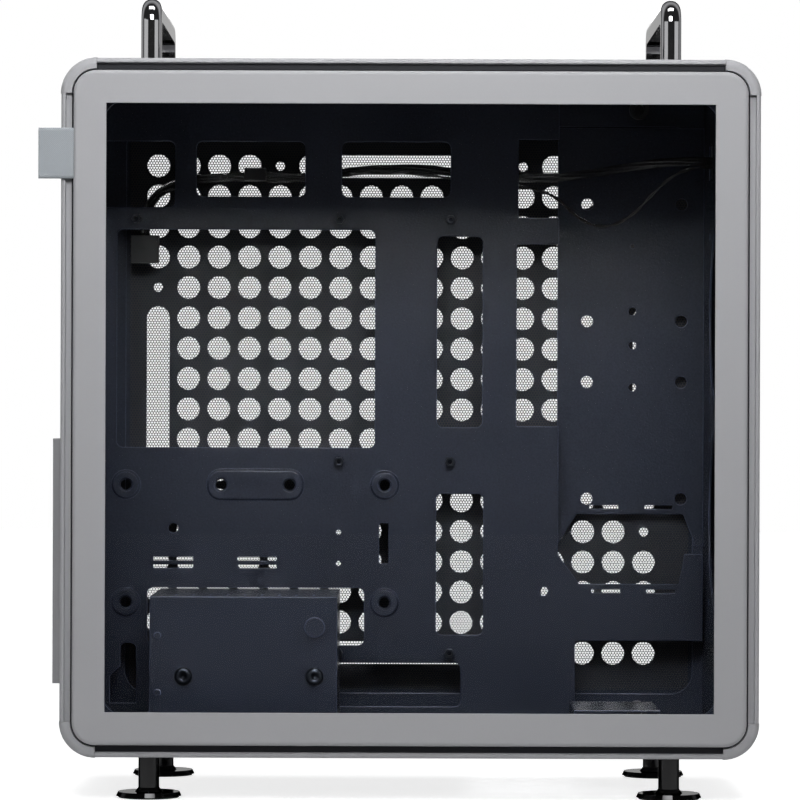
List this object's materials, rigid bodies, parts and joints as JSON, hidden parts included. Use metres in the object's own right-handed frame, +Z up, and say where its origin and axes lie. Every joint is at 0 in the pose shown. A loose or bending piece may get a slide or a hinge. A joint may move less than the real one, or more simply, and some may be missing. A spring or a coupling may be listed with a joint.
{
  "type": "computer case",
  "caption": "mid-tower computer case with rounded grey shell, glazed side, round-hole perforated side, bar handles on top, disc feet, and an inner tray for board and drives",
  "frame": {"origin": "middle of the box round the case, on the plane the feet stand on", "axes": "X from the rear to the front, Y from the glazed side to the perforated side, Z up"},
  "size_m": [0.437, 0.231, 0.489],
  "materials": {
    "grey_paint": "satin",
    "dark_steel": "matte",
    "zinc_steel": "satin",
    "black_chrome": "polished",
    "foot_rubber": "matte",
    "tinted_glass": "polished",
    "grey_strap": "matte",
    "filter_mesh": "matte",
    "black_plastic": "matte",
    "cable_jacket": "satin"
  },
  "bodies": {
    "chassis": {"audio_socket": "black_plastic", "board_standoffs": "zinc_steel", "bottom_panel": "grey_paint", "cable_ties": "black_plastic", "corner_bottom_front": "grey_paint", "corner_bottom_rear": "grey_paint", "corner_top_front": "grey_paint", "corner_top_rear": "grey_paint", "drive_cage": "dark_steel", "drive_screws": "zinc_steel", "foot_front_left": "black_chrome", "foot_front_right": "black_chrome", "foot_pad_front_left": "foot_rubber", "foot_pad_front_right": "foot_rubber", "foot_pad_rear_left": "foot_rubber", "foot_pad_rear_right": "foot_rubber", "foot_rear_left": "black_chrome", "foot_rear_right": "black_chrome", "foot_screws": "zinc_steel", "front_filter": "filter_mesh", "front_panel": "grey_paint", "front_wall": "dark_steel", "handle_front": "black_chrome", "handle_rear": "black_chrome", "handle_screws": "zinc_steel", "left_clips": "black_plastic", "motherboard_tray": "dark_steel", "power_supply_shelf": "dark_steel", "rear_panel": "grey_paint", "right_clips": "black_plastic", "side_frame_left": "dark_steel", "side_frame_right": "dark_steel", "slot_cover_1": "dark_steel", "slot_cover_2": "dark_steel", "slot_cover_3": "dark_steel", "slot_cover_4": "dark_steel", "slot_cover_5": "dark_steel", "slot_cover_6": "dark_steel", "slot_cover_7": "dark_steel", "slot_screws": "zinc_steel", "slot_shield": "grey_paint", "socket_cable": "cable_jacket", "socket_housing": "black_plastic", "socket_plug": "black_plastic", "switch_lead": "cable_jacket", "switch_plug": "black_plastic", "top_filter": "filter_mesh", "top_panel": "grey_paint", "usb_sockets": "zinc_steel"},
    "left_side": {"window_frame": "grey_paint", "glass_pane": "tinted_glass", "pull_tab": "grey_strap", "left_studs": "black_plastic"},
    "right_side": {"vent_panel": "grey_paint", "vent_mesh": "filter_mesh", "right_studs": "black_plastic"},
    "power_key": {"power_button": "black_plastic"},
    "reset_key": {"reset_button": "black_plastic"}
  },
  "joints": [
    {"name": "left_panel_pull", "type": "slide", "parent": "chassis", "child": "left_side", "axis": [0, -1, 0], "range_m": [0, 0.06]},
    {"name": "right_panel_pull", "type": "slide", "parent": "chassis", "child": "right_side", "axis": [0, 1, 0], "range_m": [0, 0.06]},
    {"name": "power_press", "type": "slide", "parent": "chassis", "child": "power_key", "axis": [-1, 0, 0], "range_m": [0, 0.0015], "stiffness_N_per_m": 800},
    {"name": "reset_press", "type": "slide", "parent": "chassis", "child": "reset_key", "axis": [-1, 0, 0], "range_m": [0, 0.0015], "stiffness_N_per_m": 800}
  ]
}
